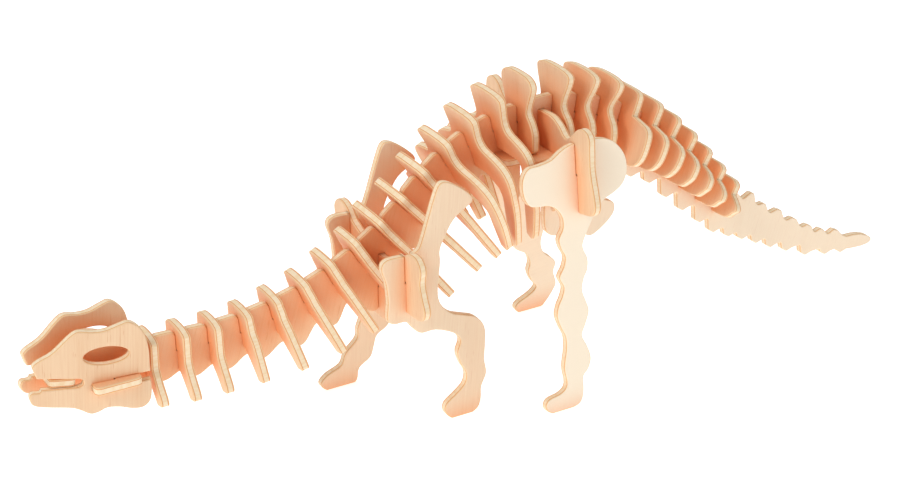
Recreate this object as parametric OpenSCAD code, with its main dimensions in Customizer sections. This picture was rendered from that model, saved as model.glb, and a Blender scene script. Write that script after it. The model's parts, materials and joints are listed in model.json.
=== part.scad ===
// Wooden 3D jigsaw model: a long-necked dinosaur skeleton of slotted plywood plates.
// Millimetres. +X runs from head to tail, +Z is up, the spine lies in the plane Y = 0.

/* [Plywood] */
// Thickness of the plywood sheet
ply = 3; // [2.9:0.05:3.1]
// Play on each side of a slot
slot_play = 0.05; // [0.03:0.01:0.08]
// Radius that rounds the corners of the sawn outlines
corner_r = 1; // [0.6:0.1:1.2]

/* [Spine] */
// Distance between two ribs along the neck and the chest
rib_step = 11.25; // [11:0.05:11.4]
// Distance between two ribs along the tail
tail_step = 10.45; // [10.2:0.05:10.6]
// Depth of the slot that a rib takes in the spine
rib_slot = 7; // [6:0.5:8]

/* [Skull] */
// Angle by which each skull side turns in towards the nose
skull_toe_in = 6.5; // [5.5:0.5:7]
// Distance from the spine to the outer face of a skull side, at the jaw hinge
skull_half = 10.4; // [10:0.1:10.8]

/* [Legs] */
// Distance from the spine to the outer face of a front leg
front_leg_half = 21.5; // [21:0.25:22.5]
// Distance from the spine to the outer face of a hind leg, at the hip slot
hind_leg_half = 27; // [26.5:0.25:27.5]
// Outward splay of the hind legs
hind_splay = 7; // [6:0.5:8]

/* [Hidden] */
// Smoothness of the sawn curves: points added between two outline points
curve_steps = 4;
// Width of a slot that takes a plate
slot_w = ply + 2 * slot_play;
// Gap left at the end of every slot
end_play = 0.06;
// Middle of the model along X, moved to the origin
mid_x = 27.9;
// Reach of a cutter past the edge it opens
past = 60;

// Spine line: the first station, then the rise of the spine from each rib to the next, in degrees
spine_start = [-107, 51.3];
spine_slope = [-2, -2, 3, 9, 15, 21, 27, 34, 41, 45, 38, 29, 20, 8,
               3, -11, -18, -25, -31, -37, -42, -45, -47, -47];
// Lean of each rib towards the head, in degrees
rib_lean = [0, 0, 1, 5, 12, 20, 25, 29, 38, 41, 36, 27, 18, 12, 0,
            -3, -9, -13, -17, -22, -26, -27, -27, -26, -24];
// Ribs by region: neck 0-7, chest 8-13, loin 14, hip 15-17, tail 18-24
neck_ribs = [0:7];
chest_ribs = [8:13];
loin_rib = 14;
hip_ribs = [15:17];
tail_ribs = [18:24];
// The step over the hip plate is longer than the others
hip_step = 14.6;

function step_after(i) = i == loin_rib ? hip_step : i < loin_rib ? rib_step : tail_step;
// Point where the front face of rib i meets the top line of the spine
function station(i) = i == 0 ? spine_start
    : station(i - 1) + step_after(i - 1) * [cos(spine_slope[i - 1]), sin(spine_slope[i - 1])];
// Along and across a rib's plane, in the plane of the spine
function along(a) = [cos(a), sin(a)];
function across(a) = [-sin(a), cos(a)];
// Middle of two values
function mid(a, b) = (a + b) / 2;
// Spine depth below its top line at rib i
function notch_depth(i) = i < 4 ? 14.3 + 0.5 * i : i < 8 ? 17 : i < 11 ? 16 : i < 14 ? 19 : 21;
// Depth of the rounded lobe under the spine, between rib i and the next
function lobe_depth(i) = i < 4 ? 17 + 0.9 * i : i < 7 ? 21.5 : i < 11 ? 20 : i < 14 ? 22 : 24;
function slot_depth(i) = i < 18 ? rib_slot : rib_slot - 0.35 * (i - 17);

// One point of a Catmull-Rom curve
function crom(a, b, c, d, t) = 0.5 * ((2 * b) + (c - a) * t
    + (2 * a - 5 * b + 4 * c - d) * t * t + (3 * b - a - 3 * c + d) * t * t * t);
// Closed smooth curve through the points p
function loop_curve(p) = [for (i = [0:len(p) - 1], k = [0:curve_steps - 1])
    crom(p[(i + len(p) - 1) % len(p)], p[i], p[(i + 1) % len(p)], p[(i + 2) % len(p)],
         k / curve_steps)];
// Open smooth curve through the points p, ends included
function open_curve(p) = concat([for (i = [0:len(p) - 2], k = [0:curve_steps - 1])
    crom(p[max(i - 1, 0)], p[i], p[i + 1], p[min(i + 2, len(p) - 1)], k / curve_steps)],
    [p[len(p) - 1]]);
function reversed(p) = [for (i = [len(p) - 1:-1:0]) p[i]];
// The same points on the other side of the middle line, in reverse order
function mirrored(p) = [for (q = reversed(p)) [-q[0], q[1]]];

// Rounds the outer corners of a flat outline
module rounded(r = corner_r) { offset(r = r, $fn = 24) offset(delta = -r) children(); }
// A plate cut from the sheet, upright along the model, its middle plane at Y = 0
module side_plate() { rotate([90, 0, 0]) linear_extrude(ply, center = true) children(); }
// A plate across the model: outline X to +Y, outline Y to +Z, its front face at X = 0
module cross_plate() { rotate([90, 0, 90]) linear_extrude(ply) children(); }
// A level plate, its underside at Z = 0
module level_plate() { linear_extrude(ply) children(); }
// Moves a finished piece so that the model's middle is the origin
module place() { translate([-mid_x, 0, 0]) children(); }
// A slot that runs down from the height top to the height low, centred on x
module slot_between(x, low, top, w = slot_w) { translate([x - w / 2, low]) square([w, top - low]); }

// --- Plates that cross the spine ---
hip_x = 43.6;
shoulder_x = -20.5;
belly_z = 85;
belly_front = 26;
belly_rear = hip_x - 0.1;
// Near edge of the belly plate, narrower in front between the last ribs
belly_edge = [[belly_front, 9.8], [31.2, 9.8], [33.6, 15.8], [belly_rear, 15.8]];
cheek_z = 41.3;
cheek_front = -128;
cheek_rear = -112;
cheek_half = 12.8;
// The upright line about which the skull sides turn in
jaw_hinge_x = -110.5;
// Rear end of the mouth slit, its rise towards the nose and the length of the plate in it
mouth_corner = [-132.2, 43.7];
mouth_tilt = 8;
mouth_length = 9;
// Front end of the cheek slot in the spine
head_end = -121;
// Where the two spine plates meet, inside the slot of the loin rib
splice_x = station(loin_rib)[0] + ply / 2;

// Radii that round the corners of the two spine plates
spine_corner_r = corner_r + 0.9;
tail_corner_r = corner_r;

// Half-lap heights
shoulder_lap = 48;
shoulder_leg_lap = 58;
hip_lap = 88;
hip_leg_lap = 85;
belly_front_lap = mid(belly_front, splice_x);
belly_rear_lap = mid(belly_rear, splice_x);
cheek_lap = -120.5;
cheek_spine_lap = -117.7;

// --- Spine ---
// Points of the upper edge
function spine_top(first, last) = [for (i = [first:last]) station(i)];
// Points of the lower edge: a narrow place at each rib, a lobe between two ribs
function lower_at(i) = station(i) - notch_depth(i) * across(rib_lean[i]) + ply / 2 * along(rib_lean[i]);
function lower_lobe(i, f) = (1 - f) * station(i) + f * station(i + 1)
    - lobe_depth(i) * across(mid(rib_lean[i], rib_lean[i + 1]));
// The lower edge from rib last back to rib first: each lobe is flat between lobe_flat of the step
lobe_flat = [0.4, 0.68];
function lower_edge(first, last) = [for (i = [last:-1:first], k = [0:2])
    k == 0 ? lower_at(i) : lower_lobe(i - 1, lobe_flat[2 - k])];

// The same points below the X axis, in reverse order
function mirror_down(p) = [for (q = reversed(p)) [q[0], -q[1]]];

module rib_notches(first, last) {
    for (i = [first:last])
        translate(station(i))
            rotate(rib_lean[i])
                translate([-slot_play, -slot_depth(i)])
                    square([slot_w, past / 3]);
}

// Head end, between the skull sides, with the slot for the cheek plate
module head_tongue() {
    polygon(concat(
        [station(0), [-109, 51.5]],
        open_curve([[-112, 52], [-117.5, 55.6], [-122.5, 58.4], [-127, 59.3], [-130, 57],
                    [-130.8, 52.5], [-128, 48], [head_end, 43], [-120.5, 38], [-116, 35.5],
                    [-110, 37]]),
        [lower_at(0)]));
}
// Lobe that reaches down to the shoulder plate
module shoulder_lobe() {
    polygon(open_curve([[-35, 60], [-31, 46], [-25, 39.7], [-19, 38.5], [-14.5, 42], [-13, 50],
                        [-12, 58], [-8, 66], [-8, 76]]));
}
// Lobe below the belly plate
module loin_lobe() {
    polygon([[splice_x, 92], [splice_x, 67.6], [34, 67.8], [31, 69.5], [28, 76], [24, 84], [24, 92]]);
}
module body_spine_outline() {
    polygon(concat(spine_top(0, loin_rib), [[splice_x, station(loin_rib)[1]], [splice_x, 80]],
                   open_curve(concat(lower_edge(1, loin_rib - 1), [lower_at(0)]))));
    head_tongue();
    shoulder_lobe();
    loin_lobe();
}
module body_spine() {
    color("#e8b98c") place() side_plate() rounded(spine_corner_r) difference() {
        offset(r = -1.5, $fn = 24) offset(r = 1.5, $fn = 24) body_spine_outline();
        rib_notches(0, loin_rib);
        // horizontal slot for the cheek plate
        translate([head_end - past, cheek_z - slot_play])
            square([past + cheek_spine_lap - head_end + end_play, slot_w]);
        // slot from below for the shoulder plate
        slot_between(shoulder_x + ply / 2, 0, shoulder_lap);
        // horizontal slot for the belly plate
        translate([belly_front_lap - end_play, belly_z - slot_play]) square([past, slot_w]);
    }
}

// Pelvis below the spine: pubis in front, ischium behind
module pelvis() {
    polygon(open_curve([[47.4, 84], [47.6, 70], [47.2, 58], [48.5, 51.5], [53, 49.5], [57, 53],
                        [58, 60], [60, 62.5], [62, 58], [64, 49], [67, 45.8], [72, 48], [77, 52.5],
                        [77, 57], [71.5, 60], [67, 66], [66, 76], [68, 84]]));
}
// Saw teeth under the tail: the lower front corner of each
tail_teeth = [[82, 66], [90.4, 61.6], [98.3, 54], [106.1, 46.8], [114.5, 39.8], [121.2, 34],
              [128.6, 30.4], [135.2, 27.6], [142.3, 24.2], [149.5, 20.6], [157.6, 17],
              [167.4, 12.8], [177.4, 10.6], [185.6, 9.4]];
tooth_length = 5.2;
// Outline of one tooth: steep in front, rounded below, flat towards the next one
function tooth(k, top) = [[tail_teeth[k][0] - 0.5, top], tail_teeth[k] + [0, 0.9],
                          tail_teeth[k] + [2.4, -0.8], tail_teeth[k] + [tooth_length, 0.1]];
function teeth_below() = [for (k = [0:len(tail_teeth) - 1])
    each tooth(k, k == 0 ? 72 : tail_teeth[k - 1][1] + 0.4)];
// Knobs on top of the tail, steep behind, and the plain tip
tail_top = [[137, 44], [140.6, 45.8], [142.3, 45.3], [143.3, 41],
            [144.5, 39.8], [147, 40.1], [148.4, 39.2], [149.6, 36],
            [151, 35], [154.2, 35.7], [156.3, 34.7], [157.7, 31],
            [159, 29.8], [162, 30.3], [164.2, 29], [166, 25.8],
            [167.4, 24.9], [169.8, 25.4], [172, 24.2], [173.3, 21.4],
            [174.8, 21.2], [176.7, 22], [178.5, 21], [180.2, 18.9],
            [181.6, 18.7], [183.7, 19.9], [185.9, 19], [188.2, 16.4],
            [190.5, 15.1], [194.5, 15], [198, 14.4], [201.2, 13.2], [203.4, 11.6], [203.7, 10.2],
            [202, 9.3], [198.6, 8.9], [194.8, 9.1]];
module tail_spine_outline() {
    polygon(concat([[splice_x, station(loin_rib)[1]]], spine_top(15, 24),
                   [station(24) + [7, -6]], tail_top,
                   reversed(teeth_below()), lower_edge(16, 17), [lower_at(15)],
                   [[hip_x + ply + 0.4, 82], [hip_x, 82], [splice_x, 80]]));
    pelvis();
}
module tail_spine() {
    color("#f0cba2") place() side_plate() rounded(tail_corner_r) difference() {
        offset(r = -1, $fn = 24) offset(r = 1, $fn = 24) tail_spine_outline();
        rib_notches(loin_rib, 24);
        // slot from below for the hip plate
        slot_between(hip_x + ply / 2, 0, hip_lap);
        // horizontal slot for the belly plate
        translate([belly_rear_lap + end_play - past, belly_z - slot_play]) square([past, slot_w]);
    }
}

// --- Ribs: outline in the rib's own plane, Y = 0 where its front face meets the spine's top line ---
// Symmetric plate with the slot that drops over the spine
module rib_plate(i, half, slot_from) {
    a = rib_lean[i];
    color("#f2c79a") place() translate([station(i)[0], 0, station(i)[1]]) rotate([0, -a, 0])
        cross_plate() difference() {
            rounded() polygon(concat(half, mirrored(half)));
            slot_between(0, slot_from, end_play - slot_depth(i));
        }
}
// Neck rib: an upright head, a waist and two legs that spread below the spine
neck_tip_w = [13.5, 14, 14, 15, 16.8, 18.2, 18.2, 17.2];
neck_tip_z = [-20, -20.5, -20.5, -20.5, -21, -21.5, -22, -14.6];
neck_top = [1.9, 1.9, 2.1, 2.4, 3.2, 3.6, 4.8, 5.4];
module neck_rib(i) {
    top_h = neck_top[i];
    head_w = 7.5 + 0.1 * i;
    waist_w = 7 + 0.35 * i;
    waist_z = i < 3 ? -10 : -4.5;
    tip = [neck_tip_w[i], neck_tip_z[i]];
    leg_w = 4.2;
    crotch = i < 3 ? -14 : -12;
    half = concat(
        open_curve([[0, top_h], [head_w * 0.55, top_h - 0.3], [head_w - 0.5, top_h - 1.3],
                    [head_w, top_h - 3.4], [waist_w + 0.1, waist_z + 2.5], [waist_w + 0.5, waist_z],
                    [waist_w + 3, waist_z - 4], [tip[0] - 0.6, tip[1] + 2.5], tip]),
        open_curve([[tip[0] - leg_w + 0.4, tip[1] - 0.8],
                    [mid(tip[0], 5) - leg_w * 0.6, mid(crotch, tip[1]) - 0.6],
                    [3.2, crotch - 0.5]]),
        [[0, crotch]]);
    rib_plate(i, half, crotch - 4);
}
// Chest rib: a wide paddle above the spine and two long ribs that curve in below it
chest_top = [6.6, 5.6, 5.4, 6.6, 7.4, 8.8];
chest_shoulder = [17.8, 18, 18.2, 25.5, 23.8, 22.6];
chest_tip_w = [18, 18, 18, 17, 14, 15];
chest_tip_z = [-33, -35, -38.5, -41, -45, -46];
module chest_rib(i) {
    k = i - 8;
    top_h = chest_top[k];
    shoulder_w = chest_shoulder[k];
    tip_w = chest_tip_w[k];
    tip_z = chest_tip_z[k];
    head_w = 9.6;
    waist_w = 8.8;
    crotch = i == 13 ? -13.3 : -15;
    inner_w = i == 13 ? 16.6 : shoulder_w * 0.48;
    bulge = i < 11 ? 0 : 2;
    half = concat(
        open_curve([[0, top_h], [head_w * 0.6, top_h - 0.3], [head_w - 0.2, top_h - 1.5],
                    [head_w, top_h - 4], [waist_w, -1.5], [waist_w + 1.8, -5],
                    [shoulder_w * 0.72, -7], [shoulder_w - 1.5, -10], [shoulder_w, -16],
                    [mid(shoulder_w, tip_w) + bulge, mid(-12, tip_z)], [tip_w + bulge / 2, tip_z + 3],
                    [tip_w - 1.2, tip_z], [tip_w - 4, tip_z + 1.5]]),
        open_curve([[mid(shoulder_w, tip_w) - 4.5, mid(-12, tip_z)],
                    [max(shoulder_w - 7.5, inner_w - 0.4), -20],
                    [inner_w, crotch - 1], [inner_w - 3, crotch]]),
        [[0, crotch]]);
    rib_plate(i, half, crotch - 4);
}
// Loin rib: stands on the belly plate
module loin_rib_plate(i) {
    foot = belly_z + ply + end_play - station(i)[1];
    half = concat(
        open_curve([[0, 11.2], [5.6, 10.9], [8.9, 9.4], [9.6, 6.6], [7.5, 1], [7, -2.4], [9.5, -5.4],
                    [11.3, -9], [11.5, foot + 1.5]]),
        [[10, foot], [0, foot]]);
    rib_plate(i, half, -past / 2);
}
// Hip rib: a paddle with a waist and a tapering lower part on each side of the pelvis
module hip_rib(i) {
    k = i - 15;
    top_h = 9.9 - 0.6 * k;
    end_z = -44 + 11 * k;
    end_w = 6.5 + 1.5 * k;
    inner_w = 3.2;
    half = concat(
        open_curve([[0, top_h], [6, top_h - 0.3], [9.7, top_h - 1.5], [9.6, top_h - 4.5],
                    [6.9, -1.5], [7.4, -4.5], [11, -8], [12.5, -12], [12.3, -18],
                    [mid(12, end_w) + 1, mid(-16, end_z)], [end_w, end_z + 2], [end_w - 1.6, end_z]]),
        [[inner_w, end_z + 3], [inner_w, -20], [0, -19]]);
    rib_plate(i, half, -past);
}
// Tail rib: a square head above the spine and a broad round-shouldered body across it
module tail_rib(i) {
    k = i - 18;
    top_h = 6.4 - 0.6 * k;
    head_w = 8.8;
    body_w = 19.6 - 0.95 * k;
    foot = -19.6 + 1.3 * k;
    half = concat(
        open_curve([[0, top_h], [head_w - 2.5, top_h - 0.2], [head_w - 0.1, top_h - 1.6],
                    [head_w, 1], [head_w - 0.2, -2.6]]),
        open_curve([[body_w - 3, -3.9], [body_w - 0.4, -6], [body_w, mid(-4, foot)],
                    [body_w - 1, foot + 3.5], [body_w - 3.8, foot + 0.6], [body_w - 8, foot]]),
        [[0, foot]]);
    rib_plate(i, half, -past / 2);
}

// --- Cross plates that carry the legs ---
module shoulder_plate() {
    half = concat(
        [[0, 60.5]],
        open_curve([[4, 60.3], [10, 62], [15, 63.9], [18.2, 65.3], [21.4, 68.4], [25, 69.8],
                    [29, 69.3], [31.4, 66], [30.6, 61], [32, 56.5], [33.9, 52], [32.5, 48.5],
                    [28, 47], [18, 46.5], [12, 43.5], [8, 38.5], [4, 36.5]]),
        [[0, 36.5]]);
    color("#edc096") place() translate([shoulder_x, 0, 0]) cross_plate() difference() {
        rounded() polygon(concat(half, mirrored(half)));
        // slot from above for the spine
        slot_between(0, shoulder_lap - end_play, past * 2);
        // slots from below for the front legs
        for (side = [-1, 1])
            slot_between(side * (front_leg_half - ply / 2), 0, shoulder_leg_lap + end_play);
    }
}
module hip_plate() {
    half = concat(
        [[0, 100.3]],
        open_curve([[5, 100.6], [10, 100.6], [14.5, 98.8], [19, 95.7], [22.8, 98], [26.3, 101.4],
                    [30, 102.6], [33.3, 100.8], [34, 95.4], [34.6, 89], [36.9, 82], [38.3, 77],
                    [37.2, 73.8], [33.8, 72.3], [26, 71.4], [19, 73.5], [12, 76.5], [6, 77.5]]),
        [[0, 77.5]]);
    color("#edc096") place() translate([hip_x, 0, 0]) cross_plate() difference() {
        rounded() polygon(concat(half, mirrored(half)));
        // slot from above for the spine
        slot_between(0, hip_lap - end_play, past * 2);
        // splayed slots from below for the hind legs
        for (side = [-1, 1])
            translate([side * hind_leg_half, hip_leg_lap]) rotate(side * hind_splay)
                translate([-side * ply / 2 - slot_w / 2, -past])
                    square([slot_w, past + end_play]);
    }
}
module belly_plate() {
    color("#e9b88a") place() translate([0, 0, belly_z]) level_plate() difference() {
        rounded(2) polygon(concat(belly_edge, mirror_down(belly_edge)));
        translate([belly_front - past, -slot_w / 2])
            square([past + belly_front_lap - belly_front + end_play, slot_w]);
        translate([belly_rear_lap - end_play, -slot_w / 2]) square([past, slot_w]);
    }
}

// --- Legs, drawn in the model's own X and Z ---
// Shoulder blade and upper arm, shared by both front legs: from the arm's front down to its back
blade_front = [[-8, 52], [-7, 62], [-7, 67], [-4.5, 72.5], [-1, 77.5], [4.5, 81], [5.8, 83],
               [3.5, 86], [-1, 89.5], [-4.5, 91.2], [-7, 90.5], [-9, 86], [-11, 80], [-13.3, 73],
               [-15.5, 68.5], [-20, 67.8], [-27, 67.8], [-29.2, 65], [-27.6, 59], [-27, 52],
               [-27.4, 45.5], [-25, 43.4], [-20.5, 43]];
module front_leg(side, lower) {
    color("#eebf93") place()
        translate([0, side * (front_leg_half - ply / 2), 0]) side_plate() difference() {
            rounded() polygon(loop_curve(concat(blade_front, lower)));
            slot_between(shoulder_x + ply / 2, shoulder_leg_lap - end_play, past * 2);
            translate([-past, -past]) square([2 * past, past]);
        }
}
module near_front_leg() {
    front_leg(-1, [[-17.5, 39.5], [-14.5, 37.2], [-9, 37], [-2, 33.8], [0.8, 30], [-0.4, 25.5],
                   [0.8, 21], [3, 16.5], [2.4, 12.3], [-1, 9.2], [-5, 6.3], [-5.6, 3.4],
                   [-4, 0.8], [-1.5, -0.3], [4.5, -0.2], [7.6, 1.5], [8.8, 5], [9, 9.5],
                   [11, 14.5], [10.2, 20], [10.6, 26.5], [10.3, 33], [7, 37.6], [2, 39.8],
                   [-3, 42], [-7, 46.5]]);
}
module far_front_leg() {
    front_leg(1, [[-18.5, 39], [-16.2, 33], [-17, 26.5], [-18.8, 21.5], [-19.3, 17.5],
                  [-24, 12.8], [-26, 8.4], [-31.5, 6], [-34.4, 3.2], [-33, 0.6], [-30, -0.3],
                  [-22, -0.2], [-19.8, 1.2], [-18.8, 5.5], [-14.2, 8.7], [-12.6, 13], [-11.2, 17],
                  [-7, 19.6], [-5, 24], [-5.5, 33], [-7, 42]]);
}
// Hip blade shared by both hind legs, from the thigh's back round to its front
blade_hind = [[50.3, 69.5], [53.8, 73.4], [59, 75.6], [62.5, 78], [64.3, 82], [64, 87],
              [62, 91], [58.5, 94.4], [54, 96], [48, 96.4], [42, 96], [38, 94.6], [34, 92.2],
              [29, 91.4], [24.8, 91], [22.4, 87.5], [22.4, 82], [24.5, 78], [28, 77],
              [32, 76.4], [35, 74.6]];
module hind_leg(side, lower) {
    // the plate turns about the line of its outer face at the height of the slot's end
    color("#f6dfc0") place() translate([0, side * hind_leg_half, hip_leg_lap])
        rotate([side * hind_splay, 0, 0])
            translate([0, -side * ply / 2, -hip_leg_lap]) side_plate() difference() {
                rounded() polygon(loop_curve(concat(blade_hind, lower)));
                slot_between(hip_x + ply / 2, hip_leg_lap - end_play, past * 2);
                translate([-past, -past + sole_z]) square([3 * past, past]);
            }
}
// Height of the sole in the leg's own plane, so that its inner edge meets the ground
sole_z = hip_leg_lap - (hip_leg_lap - ply * sin(hind_splay)) / cos(hind_splay);
module near_hind_leg() {
    hind_leg(-1, [[37.2, 71], [37.3, 67], [35.4, 63.5], [36, 60], [37.6, 56.5], [36.8, 53],
                  [34.8, 49.5], [36.4, 45.5], [35.4, 42], [34, 39.5], [33, 35.5], [34.3, 31],
                  [36, 27], [36, 22], [34.8, 15.5], [35.5, 9], [33, 6.3], [28, 5.2], [26.4, 3],
                  [27.5, 0.5], [31, -0.6], [37, -0.4], [40.8, 1], [42.2, 5], [42.4, 10.3],
                  [44.6, 12.8], [45.9, 16.5], [44.8, 21], [42.7, 26], [44.4, 30], [46, 34.5],
                  [45, 38.5], [43.7, 42.5], [44.4, 46.5], [46.2, 50], [46.5, 54], [45, 57.8],
                  [45.4, 61]]);
}
module far_hind_leg() {
    hind_leg(1, [[37.5, 70.5], [40, 62], [43, 55], [48, 44], [54, 31], [60, 26.3], [62.2, 21.8],
                 [61.8, 17.5], [63.6, 13], [66, 9.6], [63.5, 6.8], [58, 3.8], [57.5, 1],
                 [60.5, -0.6], [68.5, -0.4], [71, 1.5], [73.4, 5], [75, 8.6], [74.2, 12],
                 [73.3, 14.8], [74, 18.6], [72, 21.4], [68, 25], [66.3, 30], [67, 38],
                 [63, 48], [56, 58]]);
}

// --- Skull ---
// Turns a skull side in towards the nose about the jaw hinge
module skull_place(side) {
    translate([jaw_hinge_x, side * skull_half, 0]) rotate([0, 0, side * skull_toe_in])
        translate([-jaw_hinge_x, -side * ply / 2, 0]) children();
}
module skull_side(side) {
    color("#efc39b") place() skull_place(side) side_plate() difference() {
        rounded() polygon(loop_curve([[-145.6, 51.5], [-146, 53.8], [-144.4, 55.3], [-139.3, 57.4],
            [-133.4, 62], [-130.3, 63.2], [-126, 62.1], [-121.8, 61.8], [-117.3, 62.8],
            [-114.2, 63.2], [-111.3, 61.2], [-109.3, 57.5], [-108.5, 52], [-108.6, 47],
            [-108.6, 42.5], [-108.7, 37], [-109.6, 33.4], [-112, 31.7], [-115.5, 32],
            [-119.5, 33.5], [-123.5, 34.2], [-126.5, 33.3], [-129.2, 33.2], [-132.5, 35.4],
            [-135.5, 36.9], [-142.8, 38.8], [-146.8, 40.3], [-148, 42.6], [-147.2, 44.6],
            [-144, 44.8]]));
        // eye
        translate([-122.4, 53.1]) rotate(-5) scale([7.5, 3.2]) circle(1, $fn = 48);
        // mouth, open to the front and wider there
        translate(mouth_corner) rotate(-mouth_tilt) {
            polygon([[0, -3 * slot_play], [-past, -3 * slot_play], [-past, ply + 5],
                     [0, ply + slot_play]]);
            translate([0, ply / 2]) circle(slot_w / 2, $fn = 32);
        }
        // slot from behind for the cheek plate
        translate([cheek_lap - end_play, cheek_z - slot_play]) square([past, slot_w]);
    }
}
module near_skull_side() { skull_side(-1); }
module far_skull_side() { skull_side(1); }
module cheek_plate() {
    color("#f3cfa5") place() translate([0, 0, cheek_z]) difference() {
        level_plate() rounded(2) translate([cheek_front, -cheek_half])
            square([cheek_rear - cheek_front, 2 * cheek_half]);
        // slots from the front for the skull sides
        for (side = [-1, 1])
            skull_place(side) translate([cheek_lap + end_play - past, -slot_w / 2, -1])
                cube([past, slot_w, ply + 2]);
        translate([cheek_spine_lap - end_play, -slot_w / 2, -1]) cube([past, slot_w, ply + 2]);
    }
}
// Half-width of the head over the skull sides at x
function head_half(x) = skull_half - (jaw_hinge_x - x) * tan(skull_toe_in);
module mouth_plate() {
    sunk = 1;
    rear_half = head_half(mouth_corner[0]) - sunk;
    front_half = head_half(mouth_corner[0] - mouth_length) - sunk;
    color("#f3cfa5") place() translate([mouth_corner[0], 0, mouth_corner[1]])
        rotate([0, mouth_tilt, 0]) level_plate() rounded(1.5)
            polygon([[-mouth_length, -front_half], [-0.3, -rear_half], [-0.3, rear_half],
                     [-mouth_length, front_half]]);
}

body_spine();
tail_spine();
near_skull_side();
far_skull_side();
cheek_plate();
mouth_plate();
for (i = neck_ribs) neck_rib(i);
for (i = chest_ribs) chest_rib(i);
loin_rib_plate(loin_rib);
for (i = hip_ribs) hip_rib(i);
for (i = tail_ribs) tail_rib(i);
shoulder_plate();
near_front_leg();
far_front_leg();
belly_plate();
hip_plate();
near_hind_leg();
far_hind_leg();
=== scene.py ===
"""Looks for the wooden 3D jigsaw dinosaur: every plate is bare, sanded three-ply birch.

All lengths are in metres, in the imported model's own frame.
"""
import json
import math
from collections import Counter

import bpy
import numpy as np
from mathutils import Matrix, Vector
from mathutils.geometry import tessellate_polygon


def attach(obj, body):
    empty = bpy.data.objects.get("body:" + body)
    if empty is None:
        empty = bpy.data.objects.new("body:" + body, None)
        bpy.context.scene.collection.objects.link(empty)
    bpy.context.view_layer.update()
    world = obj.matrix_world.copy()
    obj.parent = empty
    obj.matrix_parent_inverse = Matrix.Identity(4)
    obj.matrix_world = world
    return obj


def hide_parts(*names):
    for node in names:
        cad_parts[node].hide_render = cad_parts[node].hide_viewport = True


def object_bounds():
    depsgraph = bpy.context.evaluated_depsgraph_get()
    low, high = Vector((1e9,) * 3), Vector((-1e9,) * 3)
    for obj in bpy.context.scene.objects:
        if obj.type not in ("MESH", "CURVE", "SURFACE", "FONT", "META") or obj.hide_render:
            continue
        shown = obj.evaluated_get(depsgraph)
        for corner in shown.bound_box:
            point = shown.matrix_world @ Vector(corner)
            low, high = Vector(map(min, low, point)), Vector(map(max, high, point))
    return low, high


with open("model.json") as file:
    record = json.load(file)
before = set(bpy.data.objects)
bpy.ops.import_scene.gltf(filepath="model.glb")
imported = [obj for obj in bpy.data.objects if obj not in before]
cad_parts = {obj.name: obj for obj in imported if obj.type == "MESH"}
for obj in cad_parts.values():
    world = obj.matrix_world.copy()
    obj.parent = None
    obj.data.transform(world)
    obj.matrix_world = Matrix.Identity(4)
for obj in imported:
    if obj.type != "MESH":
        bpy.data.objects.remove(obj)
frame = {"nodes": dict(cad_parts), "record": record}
cad_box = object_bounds()

# --- Sizes, colours and lights ---
MM = 0.001
LOW = Vector(cad_box[0])
HIGH = Vector(cad_box[1])
LENGTH = HIGH.x - LOW.x

# Plywood: sheet, core and glue-line thickness, and the radius sanded onto every edge
PLY = 3 * MM
CORE = 1.9 * MM
GLUE = 0.15 * MM
EDGE_RADIUS = 0.45 * MM
# Steps in which each rounded rim turns
RIM_STEPS = 4
# Cap points closer than MERGE are one point; outline steps shorter than SHORTEST are dropped
MERGE = 0.001 * MM
SHORTEST = 0.03 * MM
# Twice the area of the flattest corner that an outline keeps
FLATTEST = 1e-4 * MM * MM
# Depths below a face between which its veneer colour gives way to the edge colour
FACE_ENDS = 0.03 * MM
EDGE_STARTS = 0.30 * MM
# How far the glue lines wander, and the depth of the relief
GLUE_WANDER = 0.2 * MM
RELIEF = 0.12 * MM
# How far a neighbouring plate still casts painted shade on a face
PAINTED_SHADE_REACH = 14 * MM

# Colours as linear red, green, blue
FACE_LIGHT = (0.87, 0.62, 0.40)
FACE_DARK = (0.81, 0.53, 0.32)
FACE_FLECK = (0.70, 0.37, 0.19)
# Painted shade: the deep orange painted into the narrow gaps between plates
PAINTED_SHADE_COLOUR = (0.92, 0.37, 0.14)
RIM = (0.88, 0.60, 0.30)
CORE_LIGHT = (0.94, 0.77, 0.54)
CORE_DARK = (0.90, 0.68, 0.42)
GLUE_COLOUR = (0.72, 0.20, 0.05)
# Painted light: the pale colour that some plates are painted towards, in place of the light they
# catch
PAINTED_LIGHT_COLOUR = (1.0, 0.88, 0.70)
# The palest plates, and how far each is painted towards that pale colour as painted light
PAINTED_LIGHT_AMOUNTS = {"near_hind_leg": 0.95, "far_hind_leg": 0.7, "tail_spine": 0.6, "far_front_leg": 0.35,
          "near_front_leg": 0.3}
FLOOR_COLOUR = (0.85, 0.85, 0.85)
# Light that the floor gives of its own, so that it stays white under the model
FLOOR_GLOW = 0.66
# The floor's half-width and its gap under the feet
FLOOR_REACH = LENGTH * 14
FLOOR_GAP = 0.05 * MM
# Studio light: name, place, diameter and watts of each soft lamp, and the strength of the room
LAMPS = [("key", (-0.92, -0.32, 0.9), 0.5, 5.0),
         ("fill", (0.7, -0.9, 0.5), 0.9, 0.35),
         ("top", (0.1, 0.3, 1.1), 0.9, 2.6)]
ROOM_STRENGTH = 0.5


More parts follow.
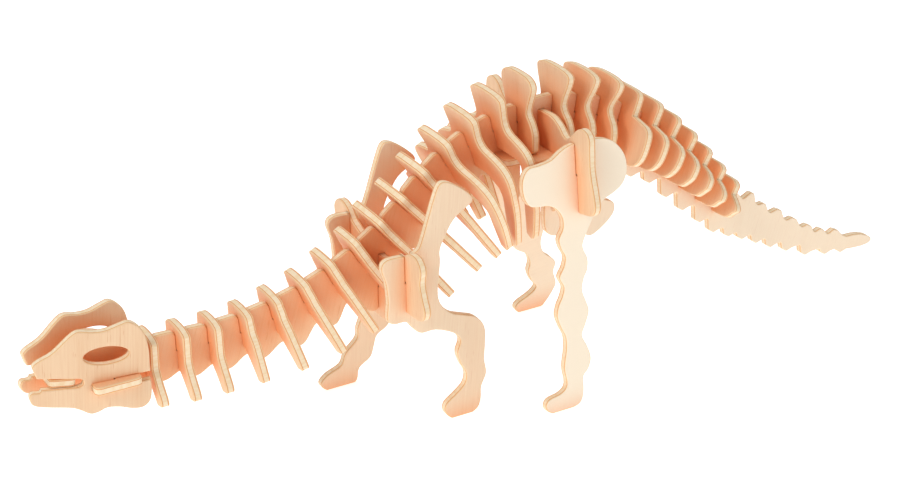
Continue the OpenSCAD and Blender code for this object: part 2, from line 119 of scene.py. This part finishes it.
# --- Node helpers ---
class Nodes:
    """Short calls to build one node tree."""

    def __init__(self, tree):
        self.tree = tree

    def add(self, kind, inputs=None, **settings):
        node = self.tree.nodes.new(kind)
        for key, value in settings.items():
            setattr(node, key, value)
        for key, value in (inputs or {}).items():
            self.put(node, key, value)
        return node

    def put(self, node, key, value):
        if isinstance(value, bpy.types.NodeSocket):
            self.tree.links.new(value, node.inputs[key])
        else:
            node.inputs[key].default_value = value

    def math(self, operation, a, b=0.0):
        return self.add("ShaderNodeMath", {0: a, 1: b}, operation=operation).outputs[0]

    def step(self, value, low, high):
        """0 below low, 1 above high, smooth between."""
        node = self.add("ShaderNodeMapRange", {"Value": value, "From Min": low, "From Max": high},
                        interpolation_type="SMOOTHSTEP")
        return node.outputs["Result"]

    def blend(self, amount, a, b):
        """Colour a where amount is 0, colour b where it is 1."""
        node = self.add("ShaderNodeMix", data_type="RGBA")
        self.put(node, 0, amount)
        self.put(node, 6, a if isinstance(a, bpy.types.NodeSocket) else (*a, 1))
        self.put(node, 7, b if isinstance(b, bpy.types.NodeSocket) else (*b, 1))
        return node.outputs[2]

    def noise(self, vector, scale, detail=2.0, rough=0.5):
        node = self.add("ShaderNodeTexNoise", {"Vector": vector, "Scale": scale, "Detail": detail,
                                               "Roughness": rough})
        return node.outputs["Fac"]

    def stretch(self, vector, factors, shift=(0, 0, 0)):
        node = self.add("ShaderNodeMapping",
                        {"Vector": vector, "Location": shift, "Scale": factors})
        return node.outputs["Vector"]


# --- Plates ---
def plate_axes(node):
    """The plate's normal from its mesh, and how far along it the plate's middle lies."""
    mesh = node.data
    count = len(mesh.polygons)
    normals = np.zeros(count * 3)
    areas = np.zeros(count)
    mesh.polygons.foreach_get("normal", normals)
    mesh.polygons.foreach_get("area", areas)
    normals = normals.reshape(-1, 3)
    spread = (normals * areas[:, None]).T @ normals
    through = Vector(np.linalg.eigh(spread)[1][:, 2]).normalized()
    if through[max(range(3), key=lambda k: abs(through[k]))] < 0:
        through = -through
    heights = [through.dot(v.co) for v in mesh.vertices]
    middle = (min(heights) + max(heights)) / 2
    return through, middle


def grain_direction(through, grain):
    """The grain's direction, laid flat in the plate."""
    flat = grain - through * grain.dot(through)
    return flat.normalized()


def plywood(name, through, middle, along, across, seed, painted_light):
    """Three-ply: grained veneer on both faces, cross-grained core and glue lines on the edges."""
    material = bpy.data.materials.new(name)
    material.use_nodes = True
    tree = material.node_tree
    tree.nodes.clear()
    n = Nodes(tree)
    turn = Matrix((along, across, through)).to_euler("XYZ")
    place = n.add("ShaderNodeTexCoord").outputs["Object"]
    local = n.add("ShaderNodeMapping", {"Vector": place, "Rotation": turn,
                                        "Location": (0, 0, -middle)}).outputs["Vector"]
    depth = n.math("ABSOLUTE", n.add("ShaderNodeSeparateXYZ", {0: local}).outputs["Z"])
    moved = n.stretch(local, (1, 1, 1), (seed * 0.37, seed * 0.21, seed * 0.13))

    # face veneer: long soft bands, fine fibres and a few short darker flecks
    bands = n.noise(n.stretch(moved, (9, 95, 40)), 1.0, 3.0, 0.55)
    fibres = n.noise(n.stretch(moved, (60, 1900, 500)), 1.0, 2.0, 0.6)
    flecks = n.noise(n.stretch(moved, (170, 1500, 300)), 1.0, 1.0, 0.5)
    clouds = n.noise(moved, 38.0, 2.0, 0.5)
    tone = n.math("ADD", n.math("MULTIPLY", bands, 0.55), n.math("MULTIPLY", fibres, 0.45))
    face = n.blend(n.step(tone, 0.36, 0.68), FACE_LIGHT, FACE_DARK)
    face = n.blend(n.math("MULTIPLY", n.step(flecks, 0.66, 0.76), 0.5), face, FACE_FLECK)
    face = n.blend(n.math("MULTIPLY", n.step(clouds, 0.45, 0.75), 0.35), face, FACE_LIGHT)
    # painted light: the palest plates are painted lighter in place of the light that falls on them
    face = n.blend(painted_light, face, PAINTED_LIGHT_COLOUR)

    # painted shade: the wood is painted a deeper orange in the narrow gaps between plates, in place
    # of the shade and bounced light there
    shelter = n.add("ShaderNodeAmbientOcclusion", {"Distance": PAINTED_SHADE_REACH}, samples=6).outputs["AO"]
    painted_shade = n.math("SUBTRACT", 1.0, n.step(shelter, 0.25, 0.90))
    face = n.blend(n.math("MULTIPLY", painted_shade, 0.9), face, PAINTED_SHADE_COLOUR)

    # edges: worn rim, glue lines that wander a little, end grain of the core
    wander = n.math("MULTIPLY", n.math("SUBTRACT", n.noise(moved, 160.0, 1.0), 0.5), GLUE_WANDER)
    level = n.math("ADD", depth, wander)
    end_grain = n.noise(n.stretch(moved, (1500, 420, 300)), 1.0, 2.0, 0.6)
    core = n.blend(n.step(end_grain, 0.38, 0.66), CORE_LIGHT, CORE_DARK)
    half_core = CORE / 2
    off_glue = n.math("ABSOLUTE", n.math("SUBTRACT", level, half_core))
    glue = n.math("SUBTRACT", 1.0, n.step(off_glue, GLUE / 2, GLUE))
    veneer = n.blend(n.math("MULTIPLY", n.step(end_grain, 0.45, 0.7), 0.45), RIM, CORE_DARK)
    side = n.blend(n.step(level, half_core - GLUE / 2, half_core + GLUE / 2), core, veneer)
    side = n.blend(n.math("MULTIPLY", glue, 0.85), side, GLUE_COLOUR)
    on_face = n.step(depth, PLY / 2 - EDGE_STARTS, PLY / 2 - FACE_ENDS)
    colour = n.blend(on_face, side, face)

    # relief: raised fibres on the faces, a groove at each glue line
    relief = n.math("ADD", n.math("MULTIPLY", fibres, 0.6), n.math("MULTIPLY", end_grain, 0.4))
    relief = n.math("SUBTRACT", relief, n.math("MULTIPLY", glue, 0.8))
    bump = n.add("ShaderNodeBump", {"Height": relief, "Strength": 0.35, "Distance": RELIEF})
    rough = n.math("ADD", n.math("MULTIPLY", fibres, 0.18), 0.52)
    shader = n.add("ShaderNodeBsdfPrincipled", {
        "Base Color": colour, "Roughness": rough, "Normal": bump.outputs["Normal"]})
    shader.inputs["Specular IOR Level"].default_value = 0.3
    out = n.add("ShaderNodeOutputMaterial")
    tree.links.new(shader.outputs["BSDF"], out.inputs["Surface"])
    return material


def cap_loops(node, along, across, through):
    """Closed outlines of the plate's upper face, flattened; the wood lies on each loop's left."""
    mesh = node.data
    where = {}
    points = []
    index = []
    for vertex in mesh.vertices:
        key = tuple(round(c / MERGE) for c in vertex.co)
        if key not in where:
            where[key] = len(points)
            points.append((along.dot(vertex.co), across.dot(vertex.co)))
        index.append(where[key])
    edges = Counter()
    for polygon in mesh.polygons:
        if polygon.normal.dot(through) > 0.99:
            ring = [index[v] for v in polygon.vertices]
            edges.update(zip(ring, ring[1:] + ring[:1]))
    follow = {a: b for (a, b), count in edges.items() if count > edges.get((b, a), 0)}
    loops = []
    while follow:
        start, here = follow.popitem()
        loop = [start]
        while here != start:
            loop.append(here)
            here = follow.pop(here)
        loops.append(np.array([points[k] for k in loop]))
    return [thinned(loop) for loop in loops]


def thinned(loop):
    """The loop without points that lie almost on top of each other or on a straight stretch."""
    kept = list(loop)
    k = 0
    while k < len(kept) and len(kept) > 3:
        before, here, after = kept[k - 1], kept[k], kept[(k + 1) % len(kept)]
        into, onward = here - before, after - here
        bend = abs(into[0] * onward[1] - into[1] * onward[0])
        if np.linalg.norm(into) < SHORTEST or bend < FLATTEST:
            kept.pop(k)
        else:
            k += 1
    return np.array(kept)


def inset(loop, distance):
    """The loop moved into the wood by a distance, with mitred corners."""
    ahead = np.roll(loop, -1, axis=0) - loop
    ahead /= np.linalg.norm(ahead, axis=1)[:, None]
    left = np.stack((-ahead[:, 1], ahead[:, 0]), axis=1)
    behind = np.roll(left, 1, axis=0)
    together = 1 + (left * behind).sum(axis=1)
    mitre = (left + behind) / np.maximum(together, 0.5)[:, None]
    return loop + mitre * distance


def flat_point(loops, k):
    """Point number k, counting through all the loops."""
    for loop in loops:
        if k < len(loop):
            return loop[k]
        k -= len(loop)


def rounded_plate(node, through, middle, along, across):
    """The plate rebuilt from its own outline, with both rims rounded as sanding leaves them."""
    loops = cap_loops(node, along, across, through)
    heights = [through.dot(v.co) for v in node.data.vertices]
    half = (max(heights) - min(heights)) / 2
    turns = [math.pi / 2 * k / RIM_STEPS for k in range(RIM_STEPS + 1)]
    lower = [(EDGE_RADIUS * (1 - math.sin(t)), EDGE_RADIUS * (1 - math.cos(t)) - half)
             for t in turns]
    profile = lower + [(shift, -height) for shift, height in reversed(lower)]
    points, faces = [], []
    rims = []
    for loop in loops:
        count = len(loop)
        first = len(points)
        for shift, height in profile:
            for x, y in inset(loop, shift):
                points.append(along * x + across * y + through * (middle + height))
        for ring in range(len(profile) - 1):
            low = first + ring * count
            for k in range(count):
                after = (k + 1) % count
                faces.append((low + k, low + after, low + count + after, low + count + k))
        rims.append((first, first + (len(profile) - 1) * count, inset(loop, EDGE_RADIUS)))
    flat = [[Vector((x, y, 0)) for x, y in rim[2]] for rim in rims]
    bottom = [rim[0] + k for rim in rims for k in range(len(rim[2]))]
    top = [rim[1] + k for rim in rims for k in range(len(rim[2]))]
    for triangle in tessellate_polygon(flat):
        a, b, c = (Vector(flat_point(flat, k)) for k in triangle)
        turned = (b - a).cross(c - a).z < 0
        order = triangle[::-1] if turned else triangle
        faces.append(tuple(top[k] for k in order))
        faces.append(tuple(bottom[k] for k in reversed(order)))
    mesh = bpy.data.meshes.new(node.name + "_wood")
    mesh.from_pydata(points, [], faces)
    mesh.validate()
    mesh.shade_smooth()
    piece = bpy.data.objects.new(node.name + "_wood", mesh)
    bpy.context.scene.collection.objects.link(piece)
    shade = piece.modifiers.new("shade", "WEIGHTED_NORMAL")
    shade.weight = 60
    return piece


def grain_for(name):
    """Cross plates are cut with the grain upright, the long side plates with it lengthwise."""
    if "rib" in name or name in ("shoulder_plate", "hip_plate"):
        return Vector((-0.3, 0.1, 1))
    if "hind_leg" in name:
        return Vector((1, 0, 0.12))
    if "front_leg" in name or "skull" in name:
        return Vector((0.08, 0, 1))
    if name in ("cheek_plate", "mouth_plate", "belly_plate"):
        return Vector((0.1, 1, 0))
    return Vector((0.3, 0, 1))


def dress_plates():
    bodies = {node: body for body, nodes in frame["record"]["behaviour"]["bodies"].items()
              for node in nodes}
    for seed, name in enumerate(sorted(frame["nodes"])):
        node = frame["nodes"][name]
        through, middle = plate_axes(node)
        along = grain_direction(through, grain_for(name))
        across = through.cross(along)
        painted_light = PAINTED_LIGHT_AMOUNTS.get(name, 0.0)
        material = plywood("plywood_" + name, through, middle, along, across, seed + 1, painted_light)
        piece = rounded_plate(node, through, middle, along, across)
        piece.data.materials.append(material)
        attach(piece, bodies[name])
        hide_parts(name)


# --- Surroundings ---
def make_floor():
    mesh = bpy.data.meshes.new("floor")
    corners = [(x * FLOOR_REACH, y * FLOOR_REACH, 0) for x, y in ((-1, -1), (1, -1), (1, 1), (-1, 1))]
    mesh.from_pydata(corners, [], [(0, 1, 2, 3)])
    floor = bpy.data.objects.new("floor", mesh)
    floor.location.z = LOW.z - FLOOR_GAP
    bpy.context.scene.collection.objects.link(floor)
    material = bpy.data.materials.new("floor")
    material.use_nodes = True
    shader = material.node_tree.nodes["Principled BSDF"]
    shader.inputs["Base Color"].default_value = (*FLOOR_COLOUR, 1)
    shader.inputs["Roughness"].default_value = 0.9
    shader.inputs["Specular IOR Level"].default_value = 0.0
    shader.inputs["Emission Color"].default_value = (1, 1, 1, 1)
    shader.inputs["Emission Strength"].default_value = FLOOR_GLOW
    mesh.materials.append(material)


def make_world():
    world = bpy.data.worlds.new("studio")
    world.use_nodes = True
    background = world.node_tree.nodes["Background"]
    background.inputs["Color"].default_value = (1.0, 1.0, 1.0, 1)
    background.inputs["Strength"].default_value = ROOM_STRENGTH
    bpy.context.scene.world = world


def make_light(name, place, aim, size, watts):
    data = bpy.data.lights.new(name, "AREA")
    data.shape = "DISK"
    data.size = size
    data.energy = watts
    light = bpy.data.objects.new(name, data)
    light.location = place
    light.rotation_euler = (aim - Vector(place)).to_track_quat("-Z", "Y").to_euler()
    bpy.context.scene.collection.objects.link(light)


def set_view():
    """Plain colours: white stays white."""
    bpy.context.scene.view_settings.view_transform = "Standard"


def make_camera():
    """Looks down on the near side, a little from the head's end."""
    azimuth = math.radians(29.5)
    elevation = math.radians(26.0)
    roll = math.radians(-0.6)
    distance = 0.693
    aim = Vector((-0.019, 0.0, 0.054))
    ahead = Vector((math.sin(azimuth) * math.cos(elevation),
                    math.cos(azimuth) * math.cos(elevation), -math.sin(elevation)))
    right = Vector((math.cos(azimuth), -math.sin(azimuth), 0))
    up = right.cross(ahead)
    tilted_right = right * math.cos(roll) + up * math.sin(roll)
    tilted_up = up * math.cos(roll) - right * math.sin(roll)
    turn = Matrix((tilted_right, tilted_up, -ahead)).transposed().to_4x4()
    data = bpy.data.cameras.new("camera")
    data.sensor_width = 36
    data.lens = 78.9
    data.clip_start = 0.01
    data.clip_end = 50
    camera = bpy.data.objects.new("camera", data)
    camera.matrix_world = Matrix.Translation(aim - ahead * distance) @ turn
    bpy.context.scene.collection.objects.link(camera)
    bpy.context.scene.camera = camera


dress_plates()
make_floor()
make_world()
for lamp, place, size, watts in LAMPS:
    make_light(lamp, place, (LOW + HIGH) / 2, size, watts)
make_camera()
set_view()
